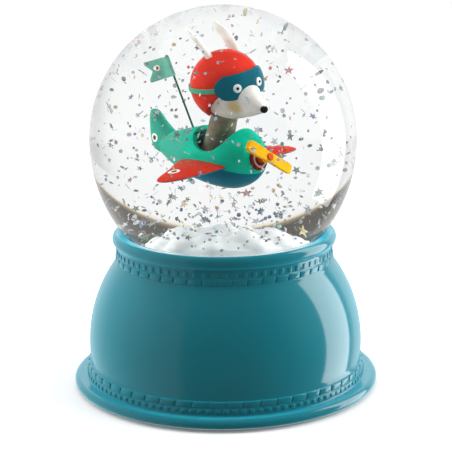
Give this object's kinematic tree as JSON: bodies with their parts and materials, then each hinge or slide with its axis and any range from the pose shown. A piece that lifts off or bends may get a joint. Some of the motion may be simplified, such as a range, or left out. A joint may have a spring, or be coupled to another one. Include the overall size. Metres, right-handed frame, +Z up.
{
  "type": "snow globe",
  "caption": "Liquid-filled glass globe with glitter and an animal pilot in a toy aeroplane whose propeller turns, on a domed plastic base with lamps, cells and a slide switch.",
  "frame": {"origin": "middle of the plane that the four rubber feet stand on", "axes": "+Z up through the globe, -Y towards the viewer of the picture, +X to the viewer's right"},
  "size_m": [0.116, 0.116, 0.1443],
  "materials": {
    "globe_glass": "clear blown glass",
    "liquid": "clear liquid, water-like",
    "star_foil": "metallic film flakes",
    "dot_foil": "metallic film flakes",
    "seal_rubber": "soft pale rubber",
    "snow_white": "matt cast resin",
    "clear_rod": "clear acrylic",
    "plane_green": "painted resin",
    "plane_blue": "painted resin",
    "wing_red": "painted resin",
    "tail_green": "painted resin",
    "ring_pink": "painted resin",
    "plate_dark_red": "painted resin",
    "pin_orange": "moulded plastic",
    "propeller_yellow": "moulded plastic",
    "mast_steel": "painted wire",
    "flag_green": "painted resin",
    "neck_taupe": "painted resin",
    "head_cream": "painted resin",
    "nose_black": "painted resin",
    "helmet_red": "painted resin",
    "goggle_teal": "painted resin",
    "lens_white": "painted resin",
    "strap_green": "painted resin",
    "ear_cream": "painted resin",
    "base_turquoise": "glossy lacquered moulding",
    "cup_white": "moulded plastic",
    "screw_steel": "zinc-plated",
    "board_green": "glass-fibre board",
    "lamp_epoxy": "clear-cast lamp",
    "plate_dark": "moulded plastic",
    "foot_rubber": "soft rubber",
    "cell_case": "plain sleeve",
    "contact_steel": "nickel-plated",
    "switch_black": "moulded plastic",
    "knob_grey": "moulded plastic",
    "lead_red": "insulated wire",
    "lead_black": "insulated wire"
  },
  "bodies": {
    "globe_and_base": {"glass_globe": "globe_glass", "liquid_fill": "liquid", "star_glitter": "star_foil", "dot_glitter": "dot_foil", "sealing_stopper": "seal_rubber", "globe_gasket": "seal_rubber", "snow_mound": "snow_white", "support_rod": "clear_rod", "fuselage_upper": "plane_green", "fuselage_belly": "plane_blue", "right_wing": "wing_red", "left_wing": "wing_red", "tail_fin": "tail_green", "nose_ring": "ring_pink", "nose_plate": "plate_dark_red", "propeller_pin": "pin_orange", "flag_mast": "mast_steel", "flag": "flag_green", "pilot_neck": "neck_taupe", "pilot_head": "head_cream", "nose_tip": "nose_black", "flying_helmet": "helmet_red", "goggle_frames": "goggle_teal", "goggle_lenses": "lens_white", "goggle_strap": "strap_green", "right_ear": "ear_cream", "left_ear": "ear_cream", "base_shell": "base_turquoise", "neck_cup": "cup_white", "cup_screws": "screw_steel", "lamp_board": "board_green", "board_screws": "screw_steel", "lamps": "lamp_epoxy", "bottom_plate": "plate_dark", "plate_screws": "screw_steel", "rubber_feet": "foot_rubber", "battery_door": "plate_dark", "door_screw": "screw_steel", "cell_1": "cell_case", "cell_2": "cell_case", "cell_3": "cell_case", "contact_plates": "contact_steel", "contact_springs": "contact_steel", "switch_body": "switch_black", "switch_screws": "screw_steel", "lead_positive": "lead_red", "lead_negative": "lead_black", "lead_switch": "lead_red"},
    "propeller_body": {"propeller": "propeller_yellow"},
    "knob_body": {"power_knob": "knob_grey"}
  },
  "joints": [
    {"name": "propeller_spin", "type": "hinge", "parent": "globe_and_base", "child": "propeller_body", "pos_m": [0.01312, -0.01366, 0.09121], "axis": [0.7201, -0.6439, 0.2585], "continuous": true},
    {"name": "power_slide", "type": "slide", "parent": "globe_and_base", "child": "knob_body", "axis": [1, 0, 0], "range_m": [0, 0.003]}
  ]
}
